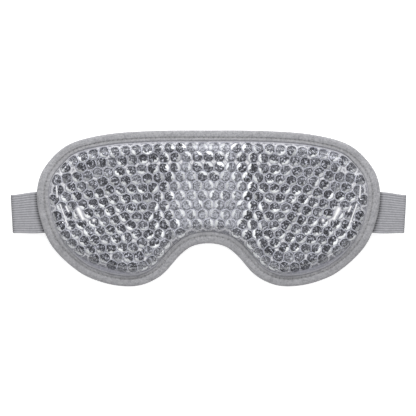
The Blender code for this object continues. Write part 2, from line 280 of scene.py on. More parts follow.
def edge_and_normals():
    half = np.array(HALF_OUTLINE) * MM
    other = half[-2:0:-1] * [-1, 1]
    edge, around = evenly_spaced(smooth_loop(np.vstack([half, other]), CURVE_STEPS), EDGE_POINTS)
    along = np.roll(edge, -TANGENT_SPAN, axis=0) - np.roll(edge, TANGENT_SPAN, axis=0)
    normals = np.stack([along[:, 1], -along[:, 0]], axis=1)
    for _ in range(NORMAL_ROUNDS):
        normals = (np.roll(normals, 1, axis=0) + normals + np.roll(normals, -1, axis=0)) / 3
    return edge, normals / np.linalg.norm(normals, axis=1)[:, None], around


EDGE, NORMALS, AROUND = edge_and_normals()
ALONG = np.arange(EDGE_POINTS) / EDGE_POINTS * AROUND
PHASE = ALONG / AROUND * round(AROUND / STITCH)


def ring(inset):
    """The outer edge moved inwards."""
    return EDGE + NORMALS * np.asarray(inset).reshape(-1, 1)


def nearest(xy, others):
    """Index of the nearest of the other points, and the distance from it, for each point."""
    index, distance = np.empty(len(xy), int), np.empty(len(xy))
    for start in range(0, len(xy), CHUNK):
        rows = slice(start, start + CHUNK)
        gap = np.linalg.norm(xy[rows, None] - others[None], axis=2)
        index[rows], distance[rows] = gap.argmin(axis=1), gap.min(axis=1)
    return index, distance


def nearest_edge(xy):
    return nearest(xy, EDGE)


def strap_middle_y(x):
    return FOLD_EDGE_Y + (FOLD_EDGE_X - np.abs(x)) * tan(STRAP_LEAN)


def base_height(xy, index, inset):
    """Height of the mask's underside: level across the bound edge, draped over the straps inside it."""
    q = EDGE[index] + NORMALS[index] * LEVEL_END
    inner = inset > LEVEL_END
    q = np.where(inner[:, None], xy, q)
    x, y = q[:, 0], q[:, 1]
    full = PLATEAU + (SIDE_LIFT - PLATEAU) * smoothstep((np.abs(x) - SIDE_START) / SIDE_RISE)
    beside = np.abs(y - strap_middle_y(x)) - STRAP_WIDTH / 2 - DRAPE_MARGIN
    over_strap = full * (1.0 - smoothstep(beside / DRAPE_SLOPE))
    return np.maximum(over_strap, PLATEAU * smoothstep((inset - BACK_START) / BACK_SLOPE))


def edge_base():
    """Base height along the bound edge."""
    return base_height(ring(LEVEL_END), np.arange(EDGE_POINTS), np.full(EDGE_POINTS, LEVEL_END))


def wide_weld(xy):
    """Extra width of the flat weld, at the outer bottom of each lobe."""
    x, y = np.abs(xy[:, 0]), xy[:, 1]
    gap2 = (x - WIDE_WELD_X) ** 2 + (y - WIDE_WELD_Y) ** 2
    return WIDE_WELD * np.exp(-gap2 / (2 * WIDE_WELD_SPREAD**2))


def dome_height(xy, index, inset):
    """Top of the front film without the bumps of the beads."""
    weld = base_height(EDGE[index], index, np.zeros(len(xy))) + WELD_HEIGHT
    start = WELD_END + wide_weld(xy)
    rise = np.sin(pi / 2 * np.clip((inset - start) / SHOULDER, 0, 1)) ** 0.85
    return weld + (POUCH_TOP - weld) * rise


# ---- meshes

def in_scene(name, data):
    obj = bpy.data.objects.new(name, data)
    bpy.context.scene.collection.objects.link(obj)
    return obj


def new_object(name, verts, faces, mat, body, nodes=(), slot=None, smooth=True):
    """A mesh piece that rides on a body, stands for CAD nodes and takes a material; its slot argument is not
    used.
    """
    mesh = bpy.data.meshes.new(name)
    mesh.from_pydata([tuple(v) for v in np.asarray(verts, float)], [], [tuple(map(int, f)) for f in faces])
    mesh.materials.append(mat)
    if smooth:
        mesh.shade_smooth()
    obj = in_scene(name, mesh)
    if body:
        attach(obj, body)
    if nodes:
        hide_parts(*nodes)
    return obj


def patch(boundary, spacing, lines=()):
    """Triangles inside a closed boundary: its own points first, then any lines, then a triangular grid."""
    low, high = boundary.min(axis=0), boundary.max(axis=0)
    rows = np.arange(low[1], high[1], spacing * 0.866)
    columns = np.arange(low[0], high[0], spacing)
    grid = np.array([(x + spacing / 2 * (k % 2), y) for k, y in enumerate(rows) for x in columns])
    grid = grid[inside(grid, boundary)]
    fixed = np.vstack([boundary, *lines])
    apart = nearest(grid, fixed)[1] > spacing * 0.55
    points = [Vector(p) for p in np.vstack([fixed, grid[apart]])]
    loop = list(range(len(boundary)))
    if polygon_area(boundary) < 0:
        loop.reverse()
    verts, _, faces = delaunay_2d_cdt(points, [], [loop], 1, 1e-9, False)[:3]
    xy, faces = np.array([tuple(v) for v in verts]), np.array(faces)
    return xy, faces[inside(xy[faces].mean(axis=1), boundary)]


def inside(points, polygon):
    """Whether each point is inside a closed polygon."""
    x, y = points[:, 0], points[:, 1]
    result = np.zeros(len(points), bool)
    for (x1, y1), (x2, y2) in zip(polygon, np.roll(polygon, -1, axis=0)):
        crosses = (y1 > y) != (y2 > y)
        if y1 != y2:
            result ^= crosses & (x < (x2 - x1) * (y - y1) / (y2 - y1) + x1)
    return result


def shell(name, xy, faces, rim, low, high, mat, body, **words):
    """A closed body between two height fields over the same patch, whose first rim points are its edge."""
    count = len(xy)
    verts = np.vstack([np.column_stack([xy, high]), np.column_stack([xy, low])])
    a, b, c = (xy[faces[:, k]] for k in range(3))
    turn = (b - a)[:, 0] * (c - a)[:, 1] - (b - a)[:, 1] * (c - a)[:, 0]
    up = np.where((turn > 0)[:, None], faces, faces[:, ::-1])
    tris = [tuple(f) for f in up] + [tuple(f[::-1] + count) for f in up]
    edge_turn = polygon_area(xy[:rim]) > 0
    for i in range(rim):
        j = (i + 1) % rim
        quad = (i, i + count, j + count, j)
        tris.append(quad if edge_turn else quad[::-1])
    return new_object(name, verts, tris, mat, body, **words)


def polygon_area(p):
    q = np.roll(p, -1, axis=0)
    return float((p[:, 0] * q[:, 1] - q[:, 0] * p[:, 1]).sum() / 2)


def sleeve(rows, sides, closed=False, capped=True):
    """Faces of a sleeve of rows of points, each row a loop; the sleeve may close on itself."""
    faces = []
    for i in range(rows if closed else rows - 1):
        n = (i + 1) % rows
        for k in range(sides):
            m = (k + 1) % sides
            faces.append((i * sides + k, i * sides + m, n * sides + m, n * sides + k))
    if capped and not closed:
        faces.append(tuple(range(sides))[::-1])
        faces.append(tuple((rows - 1) * sides + k for k in range(sides)))
    return faces


def turned(faces):
    """The same faces, looking the other way."""
    return [face[::-1] for face in faces]


def tube(points, radius, sides, closed):
    """Vertices and faces of a tube round a line of points."""
    points = np.asarray(points, float)
    if closed:
        along = np.roll(points, -1, axis=0) - np.roll(points, 1, axis=0)
    else:
        along = np.gradient(points, axis=0)
    along /= np.linalg.norm(along, axis=1)[:, None]
    side = np.cross(along, [0.0, 0.0, 1.0])
    side /= np.maximum(np.linalg.norm(side, axis=1), 1e-9)[:, None]
    up = np.cross(side, along)
    angles = np.arange(sides) * 2 * pi / sides
    verts = (points[:, None] + radius * (np.cos(angles)[None, :, None] * side[:, None]
                                         + np.sin(angles)[None, :, None] * up[:, None])).reshape(-1, 3)
    return verts, turned(sleeve(len(points), sides, closed))


def joined(parts):
    """Several (verts, faces) pairs as one."""
    verts, faces, start = [], [], 0
    for v, f in parts:
        verts.append(np.asarray(v))
        faces += [tuple(i + start for i in face) for face in f]
        start += len(v)
    return np.vstack(verts), faces


# ---- materials

class Look:
    """A material with a Principled shader, and short ways to add nodes to it."""

    def __init__(self, name):
        self.mat = bpy.data.materials.new(name)
        self.mat.use_nodes = True
        self.tree = self.mat.node_tree
        self.shader = self.tree.nodes["Principled BSDF"]
        self.output = self.tree.nodes["Material Output"]
        self.place = self.node("ShaderNodeTexCoord").outputs["Object"]

    def node(self, kind, inputs=None, **settings):
        made = self.tree.nodes.new(kind)
        for key, value in settings.items():
            setattr(made, key, value)
        for key, value in (inputs or {}).items():
            self.feed(made.inputs[key], value)
        return made

    def feed(self, socket, value):
        """Link a socket, or set the socket's own value; a colour may leave out its alpha."""
        if isinstance(value, bpy.types.NodeSocket):
            self.tree.links.new(value, socket)
        elif isinstance(value, tuple) and len(value) == 3:
            socket.default_value = (*value, 1.0)
        else:
            socket.default_value = value

    def set(self, **values):
        """Link or set sockets of the Principled shader."""
        for key, value in values.items():
            self.feed(self.shader.inputs[key.replace("_", " ")], value)

    def noise(self, scale, detail=2.0, roughness=0.5, distortion=0.0):
        inputs = {"Vector": self.place, "Scale": scale, "Detail": detail, "Roughness": roughness,
                  "Distortion": distortion}
        return self.node("ShaderNodeTexNoise", inputs).outputs["Fac"]

    def ramp(self, value, stops):
        ramp = self.node("ShaderNodeValToRGB", {"Fac": value})
        elements = ramp.color_ramp.elements
        while len(elements) < len(stops):
            elements.new(0.5)
        for element, (position, color) in zip(elements, stops):
            element.position = position
            element.color = (*color, 1.0)
        return ramp.outputs["Color"]

    def math(self, operation, a, b=0.0):
        return self.node("ShaderNodeMath", {0: a, 1: b}, operation=operation).outputs[0]

    def plus(self, a, b):
        return self.math("ADD", a, b)

    def times(self, a, b):
        return self.math("MULTIPLY", a, b)

    def length(self, a, b):
        return self.math("SQRT", self.plus(self.times(a, a), self.times(b, b)))

    def mix(self, factor, a, b, blend="MIX"):
        node = self.node("ShaderNodeMix", {0: factor, 6: a, 7: b}, data_type="RGBA", blend_type=blend)
        return node.outputs[2]

    def mottled(self, color, amount, value, low, high):
        """The colour times a grey that runs from low to high with the value."""
        stops = [(0.3, (low, low, low)), (0.7, (high, high, high))]
        return self.mix(amount, color, self.ramp(value, stops), "MULTIPLY")

    def step(self, value, low, high):
        """A smooth step from 0 at low to 1 at high; low may be the larger."""
        node = self.node("ShaderNodeMapRange", {"Value": value, "From Min": low, "From Max": high},
                         interpolation_type="SMOOTHSTEP")
        return node.outputs[0]

    def attribute(self, name):
        return self.node("ShaderNodeAttribute", attribute_name=name).outputs["Fac"]

    def bump(self, height, distance, strength=1.0):
        node = self.node("ShaderNodeBump", {"Height": height, "Distance": distance, "Strength": strength})
        self.tree.links.new(node.outputs[0], self.shader.inputs["Normal"])
        return node


def greys(blue, *stops):
    """Ramp stops from (position, sRGB level) pairs."""
    return [(position, grey(level, blue)) for position, level in stops]


def grey(level, blue=0.0):
    """A slightly bluish grey in linear values, from an sRGB level between 0 and 255."""
    linear = (level / 255.0) ** 2.2
    return (linear, linear, linear * (1 + blue))


def knit_look(name, level, blue=0.05):
    """Matte fine knit, as on the binding tape, with painted shade along the sewn groove and in the needle
    holes.
    """
    look = Look(name)
    blotch = look.noise(330.0, detail=5.0, roughness=0.7)
    mottle = look.noise(900.0, detail=3.0, roughness=0.7)
    grain = look.noise(2600.0, detail=2.0)
    color = look.ramp(blotch, greys(blue, (0.36, level - 8), (0.64, level + 7)))
    stops = [(0.36, (0.74, 0.74, 0.75)), (0.50, (1.0, 1.0, 1.0)), (0.64, (1.2, 1.19, 1.18))]
    color = look.mix(0.9, color, look.ramp(mottle, stops), "MULTIPLY")
    color = look.mottled(color, 0.8, grain, 0.80, 1.12)
    # Painted shade: darker along the sewn groove (seam) and in the needle holes (needle).
    color = look.mix(look.times(look.attribute("seam"), 0.18), color, grey(level - 60, blue))
    color = look.mix(look.times(look.attribute("needle"), 0.75), color, grey(level - 100, blue))
    look.set(Base_Color=color, Roughness=0.85, Sheen_Weight=0.1, Sheen_Roughness=0.5)
    look.bump(look.plus(mottle, look.times(grain, 0.6)), 0.16 * MM, 0.8)
    return look.mat


def elastic_look(name, level, blue=0.07):
    """Ribbed webbing: light ribs, painted shade in the grooves, fine picks across, painted shade where it
    tucks under the mask and in the grooves at the fold.
    """
    look = Look(name)
    rib, pick, shade = look.attribute("rib"), look.attribute("pick"), look.attribute("shade")
    streak = look.noise(1500.0, detail=3.0, roughness=0.7)
    mottle = look.noise(520.0, detail=4.0, roughness=0.7)
    # The rib ramp paints shade into the grooves between the ribs.
    color = look.ramp(rib, greys(blue, (0.05, level - 30), (0.45, level), (0.95, level + 8)))
    color = look.mottled(color, 0.7, mottle, 0.80, 1.15)
    color = look.mottled(color, 0.6, streak, 0.78, 1.15)
    color = look.mix(look.times(pick, 0.15), color, grey(level - 60, blue))
    # Painted shade where the webbing tucks under the mask and in the grooves at the fold.
    tuck_and_fold_shade = look.times(shade, look.ramp(rib, [(0.30, (1.0, 1.0, 1.0)), (0.75, (0.45, 0.45, 0.45))]))
    color = look.mix(tuck_and_fold_shade, color, grey(level - 118, blue))
    look.set(Base_Color=color, Roughness=0.8, Sheen_Weight=0.1, Sheen_Roughness=0.5)
    look.bump(look.plus(pick, streak), 0.06 * MM, 0.5)
    return look.mat


def plush_look(name, level, blue=0.04):
    """Short pile: clumps of fibres, soft sheen."""
    look = Look(name)
    clump = look.noise(650.0, detail=4.0, roughness=0.7, distortion=0.6)
    fibre = look.noise(3800.0, detail=2.0)
    color = look.ramp(clump, greys(blue, (0.28, level - 30), (0.72, level + 22)))
    color = look.mottled(color, 0.6, fibre, 0.70, 1.15)
    look.set(Base_Color=color, Roughness=0.95, Sheen_Weight=0.4, Sheen_Roughness=0.4)
    look.bump(look.plus(clump, look.times(fibre, 0.4)), 0.35 * MM, 0.8)
    return look.mat


def nylon_look(name, level):
    """Moulded nylon: a slight gloss and a faint grain."""
    look = Look(name)
    grain = look.noise(1300.0, detail=3.0)
    color = look.ramp(grain, greys(0.05, (0.3, level - 12), (0.7, level + 10)))
    look.set(Base_Color=color, Roughness=0.42)
    look.bump(grain, 0.04 * MM, 0.4)
    return look.mat


def thread_look(name, level):
    """Twisted polyester thread."""
    look = Look(name)
    twist = look.noise(1800.0, detail=2.0)
    look.set(Base_Color=look.ramp(twist, greys(0.0, (0.3, level - 18), (0.7, level + 14))), Roughness=0.6)
    look.bump(twist, 0.05 * MM, 0.5)
    return look.mat


def bead_look(name):
    """Clear gel painted as opaque: a mottled middle painted dark for the shaded back seen through it, a
    painted shade ring inside the rim, a painted reflection at the rim, painted highlights in the gaps, and a
    painted highlight crescent where the gel gathers light.
    """
    look = Look(name)
    u, v = look.attribute("glint_u"), look.attribute("glint_v")
    rim, tone, power = look.attribute("rim"), look.attribute("tone"), look.attribute("power")
    speck = look.noise(800.0, detail=2.0, roughness=0.8, distortion=0.6)
    blot = look.noise(560.0, detail=2.0, distortion=0.8)
    wobble = look.times(look.math("SUBTRACT", blot, 0.5), 1.1)
    radius = look.length(u, v)
    # Painted shade: the middle is painted dark for the shaded back seen through the clear gel.
    shaded_back_stops = [(0.41, grey(38, 0.16)), (0.50, grey(68, 0.14)),
                  (0.57, grey(92, 0.12)), (0.64, grey(215, 0.06))]
    pale_stops = [(0.40, grey(100, 0.06)), (0.60, grey(190, 0.05))]
    color = look.mix(tone, look.ramp(speck, shaded_back_stops), look.ramp(speck, pale_stops))
    # Painted shade: a dark ring inside the rim, where the gel bends the view.
    lens = look.times(look.step(radius, 0.62, 0.76), look.step(radius, 0.94, 0.86))
    color = look.mix(look.times(lens, 0.35), color, grey(40, 0.14))
    # Painted reflection: a white rim where each bead meets its neighbours; beyond it, painted highlight in
    # the gaps between beads.
    ring = look.plus(rim, look.times(wobble, 0.03))
    color = look.mix(look.step(ring, 0.915, 0.945), color, grey(255, 0.04))
    color = look.mix(look.step(radius, 1.00, 1.08), color, grey(255, 0.02))
    # Painted highlight: a white crescent on the side that glint_u points to, as strong as power.
    far = look.length(look.plus(u, 0.16), v)
    bent = look.times(look.math("ABSOLUTE", v), 0.55)
    far = look.plus(look.math("SUBTRACT", far, bent), wobble)
    crescent = look.times(look.step(far, 0.46, 0.56), look.step(radius, 0.96, 0.88))
    crescent = look.times(crescent, look.step(u, 0.16, 0.32))
    color = look.mix(look.times(crescent, power), color, grey(255, -0.04))
    look.set(Base_Color=color, Roughness=0.25, IOR=1.35, Specular_IOR_Level=0.3)
    look.bump(speck, 0.05 * MM, 0.2)
    return look.mat


def film_look(name, haze):
    """Thin clear film: see-through and glossy over the beads, milky where it is welded, and painted white for
    highlights in the gaps between beads, along the tape's lip and on glare streaks.
    """
    look = Look(name)
    wrinkle = look.noise(260.0, detail=3.0, distortion=0.8)
    mottle = look.noise(900.0, detail=3.0, roughness=0.7)
    milk = look.ramp(mottle, [(0.3, grey(160, 0.16)), (0.7, grey(206, 0.12))])
    # The bright attribute is painted highlight: it turns the milky colour white.
    look.set(Base_Color=look.mix(look.attribute("bright"), milk, grey(250)))
    look.set(Roughness=0.22, IOR=1.48)
    bump = look.bump(wrinkle, 0.25 * MM, 0.30).outputs[0]
    clear = look.node("ShaderNodeBsdfTransparent", {"Color": (0.98, 0.985, 1.0, 1.0)}).outputs[0]
    gloss = look.node("ShaderNodeBsdfGlossy", {"Color": (1, 1, 1, 1), "Roughness": 0.07, "Normal": bump})
    facing = look.node("ShaderNodeLayerWeight", {"Blend": 0.5, "Normal": bump}).outputs["Facing"]
    share = look.plus(look.times(look.math("POWER", facing, 5.0), 0.9), 0.025)
    shiny = look.node("ShaderNodeMixShader", {0: share, 1: clear, 2: gloss.outputs[0]}).outputs[0]
    amount = look.times(look.attribute("haze"), haze)
    milky = look.node("ShaderNodeMixShader", {0: amount, 1: shiny, 2: look.shader.outputs[0]}).outputs[0]
    look.tree.links.new(milky, look.output.inputs["Surface"])
    return look.mat


def make_materials():
    return {
        "tape": knit_look("binding_knit", 150),
        "thread": thread_look("sewing_thread", 146),
        "elastic": elastic_look("ribbed_elastic", 157),
        "plush": plush_look("back_plush", 138),
        "bead": bead_look("gel_bead"),
        "film": film_look("pouch_film", 0.95),
        "rear": film_look("rear_film", 0.10),
        "hook": nylon_look("hook_tape", 112),
        "loop": plush_look("loop_tape", 128),
    }


# ---- beads and pouch

def bead_start(xy):
    """How far from the outer edge a bead's middle stays."""
    return BEAD_EDGE + wide_weld(xy)


def bead_places():
    """Bead middles in rows that bow with the forehead edge, the same left and right."""
    seeds = []
    for k, on_line in enumerate(ROWS_ON_LINE):
        x = BEAD_PITCH * (np.arange(BEADS_PER_SIDE) + (0.0 if on_line else ROW_SHIFT))
        y = FIRST_ROW - k * ROW_PITCH - ROW_BOW * (x / ROW_BOW_AT) ** 2
        seeds += list(zip(x, y))
    seeds = np.array(seeds)
    seeds = seeds[inside(seeds, ring(0.0))]
    seeds = seeds[nearest_edge(seeds)[1] > bead_start(seeds) - SEED_MARGIN]
    middle = seeds[:, 0] < 0.1 * MM
    points = seeds + RNG.normal(0.0, BEAD_JITTER, seeds.shape) * ~middle[:, None]
    for _ in range(RELAX_ROUNDS):
        points = relax(points, middle)
    mirrored = points[~middle] * [-1, 1]
    return np.vstack([points, mirrored])


def relax(points, middle):
    """One round of pushing beads apart and back inside the pouch."""
    mirrored = points * [-1, 1]
    others = np.vstack([points, mirrored])
    away = points[:, None] - others[None]
    distance = np.linalg.norm(away, axis=2)
    same = np.zeros_like(distance, bool)
    same[np.arange(len(points)), np.arange(len(points))] = True
    same[middle, len(points) + np.flatnonzero(middle)] = True
    press = np.where(same, 0.0, np.clip(BEAD_PITCH * CLOSEST - distance, 0.0, None))
    push = (away / np.maximum(distance, 1e-6)[..., None] * press[..., None]).sum(axis=1) * PUSH
    moved = points + push
    index, inset = nearest_edge(moved)
    short = np.clip(bead_start(moved) - inset, 0.0, None)
    moved = moved + NORMALS[index] * short[:, None]
    moved[middle, 0] = 0.0
    return moved


def film_height(xy, index, inset, beads):
    """Top of the front film: the dome, sunk between the beads, with small puckers along the weld."""
    wide = wide_weld(xy)
    over_beads = smoothstep((inset - WELD_END - wide) / SAG_RISE)
    sag = FILM_SAG * (1.0 - bump_field(xy, beads)) * over_beads
    return dome_height(xy, index, inset) - sag + weld_wrinkles(index, inset, WELD_END + wide)


def bump_field(xy, beads):
    """1 over a bead's middle, falling between beads."""
    total = np.zeros(len(xy))
    for start in range(0, len(xy), CHUNK):
        rows = slice(start, start + CHUNK)
        gap2 = ((xy[rows, None] - beads[None]) ** 2).sum(axis=2)
        total[rows] = np.exp(-gap2 / (2 * BUMP_SPREAD**2)).sum(axis=1)
    return np.clip(total, 0.0, 1.1)


def glint_field(beads, index, inset):
    """For each bead: the direction of its painted highlight crescent, how strong it is, and how pale the bead
    is.

    The places x and y are in mm here.
    """
    x, y = np.abs(beads[:, 0]) / MM, beads[:, 1] / MM
    inner = smoothstep((48.0 - x) / 22.0)
    angle = OUTER_GLINT * (1 - inner) + INNER_GLINT * inner
    angle = angle + RNG.normal(0.0, GLINT_SPREAD, len(beads))
    side = np.where(beads[:, 0] > 0, -1.0, 1.0)
    direction = np.stack([np.cos(angle) * side, np.sin(angle)], axis=1)
    top_middle = (x < 10.5) & (y > 17.0) & (y < 36.0)
    direction[top_middle] = (0.5, 0.866)
    quiet = smoothstep((-y - 22.0) / 14.0) * 0.6 + smoothstep((x - 88.0) / 12.0) * 0.5
    quiet = quiet + 0.35 * smoothstep((x - 42.0) / 14.0) * smoothstep((y - 4.0) / 12.0)
    power = np.clip(RNG.normal(0.80, 0.22, len(beads)) - quiet, 0.0, 1.0)
    middle = smoothstep((29.0 - x - 0.35 * np.abs(y - 4.0)) / 10.0)
    tone = np.clip(0.85 * middle + RNG.normal(0.10, 0.16, len(beads)), 0.0, 1.0)
    tone[top_middle] = 0.20
    # Beads along the nose wings get the strongest painted highlights, facing the edge.
    wing = (inset < 13.0 * MM) & (x > 14.0) & (x < 46.0) & (y < -15.0)
    direction[wing] = -NORMALS[index[wing]]
    power = power * (1.0 - 0.35 * tone)
    power[wing], tone[wing] = 1.0, 0.4
    return direction, power, tone


def make_beads(beads, mats):
    """Every bead, pressed flat against its neighbours and between the two films."""
    index, inset = nearest_edge(beads)
    top = dome_height(beads, index, inset) - FILM_THICKNESS - FILM_GAP
    bottom = base_height(beads, index, inset) + REAR_FILM_BOTTOM + FILM_THICKNESS + 0.1 * MM
    phi = np.arange(BEAD_SIDES) * 2 * pi / BEAD_SIDES
    around = np.stack([np.cos(phi), np.sin(phi)], axis=1)
    levels = -pi / 2 + pi * np.arange(1, BEAD_ROWS) / BEAD_ROWS
    out = np.cos(levels) ** BEAD_SQUARENESS
    rise = np.sign(levels) * np.abs(np.sin(levels)) ** BEAD_SQUARENESS
    slope = radial_tilt(beads, index, inset)
    direction, power, tone = glint_field(beads, index, inset)
    parts, glints = [], []
    faces = bead_faces()
    for i, place in enumerate(beads):
        reach = bead_reach(i, beads, around)
        flat = around[None] * (reach[None] * out[:, None])[..., None]
        half, middle = (top[i] - bottom[i]) / 2, (top[i] + bottom[i]) / 2
        lean = slope[i] * (flat @ NORMALS[index[i]]) * (0.5 + 0.5 * rise)[:, None]
        z = middle + half * rise[:, None] + lean
        body = np.concatenate([flat + place, z[..., None]], axis=2).reshape(-1, 3)
        parts.append((np.vstack([(*place, bottom[i]), body, (*place, top[i])]), faces))
        local = np.vstack([(0, 0), flat.reshape(-1, 2), (0, 0)]) / (BEAD_PITCH / 2)
        u, v = direction[i]
        glints.append(local @ [[u, -v], [v, u]])
    verts, faces = joined(parts)
    index, inset = nearest_edge(verts[:, :2])
    film = film_height(verts[:, :2], index, inset, beads) - FILM_THICKNESS - FILM_GAP
    verts[:, 2] = np.minimum(verts[:, 2], film)
    filling = new_object("gel_beads", verts, faces, mats["bead"], "mask", nodes=("gel_bead_layer",),
                         slot="gel_bead")
    # These attributes place the painted shade, reflection and highlights of the bead look.
    rim = np.concatenate([[0], np.repeat(out, BEAD_SIDES), [0]])
    glint_u, glint_v = np.vstack(glints).T
    set_attributes(filling, rim=np.tile(rim, len(beads)), glint_u=glint_u, glint_v=glint_v,
                   power=np.repeat(power, len(rim)), tone=np.repeat(tone, len(rim)))


def bead_faces():
    """Faces of one bead: rings of points between a bottom and a top point."""
    last, top = 1 + (BEAD_ROWS - 2) * BEAD_SIDES, 1 + (BEAD_ROWS - 1) * BEAD_SIDES
    faces = [tuple(1 + i for i in face) for face in sleeve(BEAD_ROWS - 1, BEAD_SIDES, capped=False)]
    for k in range(BEAD_SIDES):
        n = (k + 1) % BEAD_SIDES
        faces.append((0, 1 + n, 1 + k))
        faces.append((last + k, last + n, top))
    return faces


def radial_tilt(beads, index, inset):
    """How much a bead's top leans with the film towards the edge."""
    step = 1.0 * MM
    inner = dome_height(beads + NORMALS[index] * step, index, inset + step)
    outer = dome_height(beads - NORMALS[index] * step, index, inset - step)
    return np.clip((inner - outer) / (2 * step), 0.0, STEEPEST)


def bead_reach(i, beads, around):
    """The bead's radius in each direction: round, but flat where it presses on a neighbour."""
    away = beads - beads[i]
    distance = np.linalg.norm(away, axis=1)
    near = (distance > 0) & (distance < BEAD_NEAR)
    direction = away[near] / distance[near][:, None]
    facing = around @ direction.T
    wall = np.where(facing > 0.05, (distance[near] / 2 - BEAD_GAP)[None, :] / np.maximum(facing, 0.05), 1.0)
    flat = wall.min(axis=1)
    return (flat**-WALL_POWER + BEAD_RADIUS**-WALL_POWER) ** (-1 / WALL_POWER)


def set_attributes(obj, **fields):
    """One number per vertex, for the material to read."""
    for name, values in fields.items():
        attribute = obj.data.attributes.new(name, "FLOAT", "POINT")
        attribute.data.foreach_set("value", np.asarray(values, np.float32))


def layer(spacing, lines=()):
    """The mask's outline filled with triangles, with each point's nearest edge point and inset."""
    xy, faces = patch(ring(LAYER_INSET), spacing, lines)
    index, inset = nearest_edge(xy)
    index[:EDGE_POINTS] = np.arange(EDGE_POINTS)
    inset[:EDGE_POINTS] = LAYER_INSET
    return xy, faces, index, inset


def make_pouch(beads, mats):
    """The front film over the beads, and the layers behind them."""
    lip = TAPE_WIDTH + LIP_GAP + tape_extra()
    lines = [ring(lip + shift)[::2] for shift in (-LIP_SIDE, 0.0, LIP_SIDE)] + glare_streak_lines()
    xy, faces, index, inset = layer(FRONT_SPACING, lines)
    high = film_height(xy, index, inset, beads)
    film = shell("front_film_skin", xy, faces, EDGE_POINTS, high - FILM_THICKNESS, high, mats["film"], "mask",
                 nodes=("front_film",), slot="clear_film")
    start = WELD_END + wide_weld(xy)
    weld = 1.0 - smoothstep((inset - start + 0.3 * MM) / WELD_FADE)
    _, near = nearest(xy, beads)
    # Painted highlights: white film in the gaps between beads, along the tape's lip and on the glare streaks.
    gaps = smoothstep((near - GAP_START) / GAP_FADE) * (1.0 - weld)
    gaps *= 1.0 - 0.7 * smoothstep((near - GAP_DEEP) / WELD_FADE)
    line = np.exp(-((inset - lip[index]) / LIP_SPREAD) ** 2)
    bright = np.maximum(0.75 * gaps, np.maximum(0.7 * line, glare_streak_field(xy)))
    set_attributes(film, haze=np.tile(np.maximum(0.8 * weld, bright), 2), bright=np.tile(bright, 2))
    make_back(mats)


def glare_streaks():
    """Each painted glare streak on the +X side: its start and span in metres, and half its width in mm."""
    for start, end, half in GLARE_STREAKS:
        start = np.array(start) * MM
        yield start, np.array(end) * MM - start, half


def glare_streak_lines():
    """Mesh points along the middle and both sides of each painted glare streak."""
    lines = []
    for start, along, half in glare_streaks():
        side = np.array([along[1], -along[0]]) / np.linalg.norm(along) * half * 1.5 * MM
        steps = np.linspace(0.0, 1.0, 2 + int(np.linalg.norm(along) / GLARE_STREAK_SPACING))[:, None]
        for shift in (-1, 0, 1):
            line = start + steps * along + shift * side
            lines += [line, line * [-1, 1]]
    return lines


def glare_streak_field(xy):
    """1 on a painted glare streak, falling to 0 beside it."""
    x, y = np.abs(xy[:, 0]), xy[:, 1]
    total = np.zeros(len(xy))
    for start, along, half in glare_streaks():
        t = ((x - start[0]) * along[0] + (y - start[1]) * along[1]) / (along @ along)
        t = np.clip(t, 0.0, 1.0)
        gap = np.hypot(x - start[0] - t * along[0], y - start[1] - t * along[1])
        total = np.maximum(total, np.exp(-(gap / (half * MM)) ** 2))
    return total


def weld_wrinkles(index, inset, start):
    """Small radial puckers of the film where it rises from the weld."""
    along = ALONG[index]
    wave = np.sin(along / WRINKLE_LENGTH * 2 * pi + 1.7 * np.sin(along / WRINKLE_DRIFT * 2 * pi))
    zone = np.exp(-((inset - start - 0.8 * MM) / WRINKLE_SPREAD) ** 2)
    return WRINKLE * wave * zone


def make_back(mats):
    """The rear film and the plush backing under it."""
    xy, faces, index, inset = layer(BACK_SPACING)
    base = base_height(xy, index, inset)
    low = base + REAR_FILM_BOTTOM
    rear = shell("rear_film_skin", xy, faces, EDGE_POINTS, low, low + FILM_THICKNESS, mats["rear"], "mask",
                 nodes=("rear_film",), slot="clear_film")
    set_attributes(rear, haze=np.ones(2 * len(xy)), bright=np.zeros(2 * len(xy)))
    under = base + PLUSH_EDGE_BOTTOM * (1 - smoothstep((inset - LEVEL_END) / PLUSH_CURL))
    plush = shell("plush_back", xy, faces, EDGE_POINTS, under, base + PLUSH_TOP, mats["plush"], "mask",
                  nodes=("plush_backing",), slot="plush")


# ---- binding

def make_tape(mats):
    """The folded tape: a rounded section, drawn in at the seam and at each needle point."""
    section = tape_section()
    base = edge_base()
    needle_along = needle_points(PHASE, TAPE_NEEDLE)
    pucker = PUCKER * np.sin(2 * pi * PHASE)
    rows, needle_shades, seam_shades = [], [], []
    wide = tape_extra()
    for inset, height, seam, top in section:
        ripple = RIPPLE * np.sin(ALONG / RIPPLE_LENGTH * 2 * pi + inset * 500) * top
        pull = seam * SEAM_PULL * (1 + needle_along)
        z = base + height + (-pull if top else pull) + pucker * (1 - seam) * 0.5 * top + ripple * 0.5
        xy = ring(inset + wide * max(0.0, (inset - SEAM_INSET) / (TAPE_WIDTH - SEAM_INSET)))
        rows.append(np.column_stack([xy, z]))
        # The needle and seam attributes paint shade into the needle holes and the sewn groove.
        needle_shades.append(needle_along * seam**2)
        seam_shades.append(np.full(EDGE_POINTS, seam))
    verts = np.stack(rows, axis=1).reshape(-1, 3)
    faces = sleeve(EDGE_POINTS, len(rows), closed=True)
    tape = new_object("knit_tape", verts, faces, mats["tape"], "mask", nodes=("binding_tape",),
                      slot="binding")
    set_attributes(tape, needle=np.stack(needle_shades, axis=1).ravel(), seam=np.stack(seam_shades, axis=1).ravel())
    threads = make_threads(mats)


